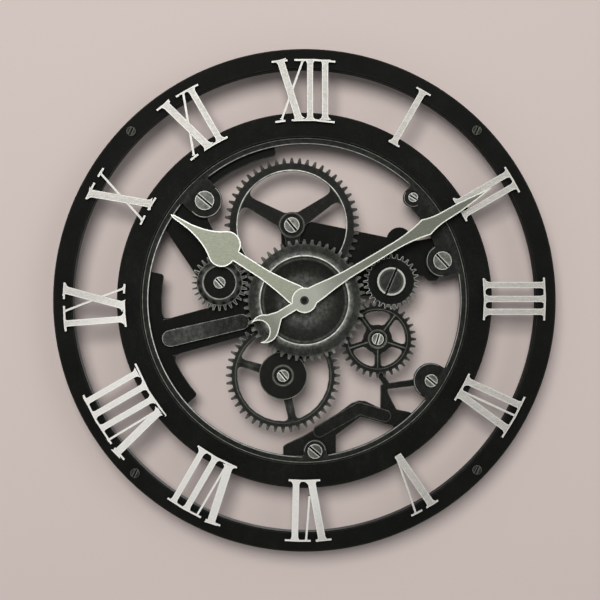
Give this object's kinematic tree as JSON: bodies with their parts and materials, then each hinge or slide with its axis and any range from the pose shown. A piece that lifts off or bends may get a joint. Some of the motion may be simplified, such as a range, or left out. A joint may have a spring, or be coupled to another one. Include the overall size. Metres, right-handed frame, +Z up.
{
  "type": "wall clock",
  "caption": "Openwork wall clock: two rings joined by raised Roman numerals, ornamental gears on a skeleton plate, two hands and a battery movement behind.",
  "frame": {"origin": "on the wall plane, at the top of the keyhole slot that hooks on the wall screw, at the clock's vertical middle line", "axes": "+Z up, -Y out of the wall towards the viewer, +X to the viewer's right; the wall is the plane y = 0"},
  "size_m": [0.4, 0.0395, 0.3999],
  "materials": {
    "black_ring": "satin black moulding with a slight sheen",
    "skeleton": "satin black",
    "gunmetal": "gunmetal, dry-brushed silver on the edges",
    "dark_iron": "dark iron grey, worn lighter on the edges",
    "numeral_silver": "brushed silver",
    "hand_silver": "brushed silver with bright edges",
    "screw_silver": "antique silver",
    "case_plastic": "fine matt black",
    "brass": "bright turned brass",
    "steel": "zinc-plated steel",
    "cell_jacket": "plain grey jacket"
  },
  "bodies": {
    "frame": {"hour_ring": "black_ring", "inner_ring": "black_ring", "ring_screw_1": "dark_iron", "ring_screw_2": "dark_iron", "ring_screw_3": "dark_iron", "ring_screw_4": "dark_iron", "hanger_plate": "steel", "hanger_screw_1": "steel", "hanger_screw_2": "steel", "numeral_1": "numeral_silver", "numeral_2": "numeral_silver", "numeral_3": "numeral_silver", "numeral_4": "numeral_silver", "numeral_5": "numeral_silver", "numeral_6": "numeral_silver", "numeral_7": "numeral_silver", "numeral_8": "numeral_silver", "numeral_9": "numeral_silver", "numeral_10": "numeral_silver", "numeral_11": "numeral_silver", "numeral_12": "numeral_silver", "skeleton_plate": "skeleton", "lower_bridge": "skeleton", "left_bar": "gunmetal", "upper_gear": "gunmetal", "lower_gear": "gunmetal", "lower_disc": "dark_iron", "spoked_gear": "gunmetal", "left_gear": "gunmetal", "right_gear": "dark_iron", "middle_gear": "gunmetal", "upper_gear_screw": "screw_silver", "spoked_gear_screw": "screw_silver", "lower_gear_screw": "screw_silver", "left_gear_screw": "screw_silver", "right_gear_screw": "screw_silver", "upper_left_lug_screw": "screw_silver", "upper_right_lug_screw": "screw_silver", "right_lug_screw": "screw_silver", "lower_right_lug_screw": "screw_silver", "lower_lug_screw": "screw_silver", "movement_case": "case_plastic", "battery": "cell_jacket", "battery_contact_1": "steel", "battery_contact_2": "steel", "washer": "brass", "bush_nut": "brass"},
    "minute": {"minute_hand": "hand_silver", "minute_arbor": "steel", "minute_nut": "dark_iron"},
    "hour": {"hour_hand": "hand_silver", "hour_tube": "brass"},
    "knob": {"setting_knob": "case_plastic"}
  },
  "joints": [
    {"name": "minute_turn", "type": "hinge", "parent": "frame", "child": "minute", "pos_m": [0, -0.0373, -0.14285], "axis": [0, 1, 0], "continuous": true},
    {"name": "hour_turn", "type": "hinge", "parent": "frame", "child": "hour", "pos_m": [0, -0.0346, -0.14285], "axis": [0, 1, 0], "continuous": true},
    {"name": "knob_turn", "type": "hinge", "parent": "frame", "child": "knob", "pos_m": [-0.012, -0.0015, -0.13385], "axis": [0, 1, 0], "continuous": true}
  ],
  "couplings": [
    {"joint": "hour_turn", "follows": "minute_turn", "ratio": 0.083333},
    {"joint": "knob_turn", "follows": "minute_turn", "ratio": -0.33333}
  ]
}
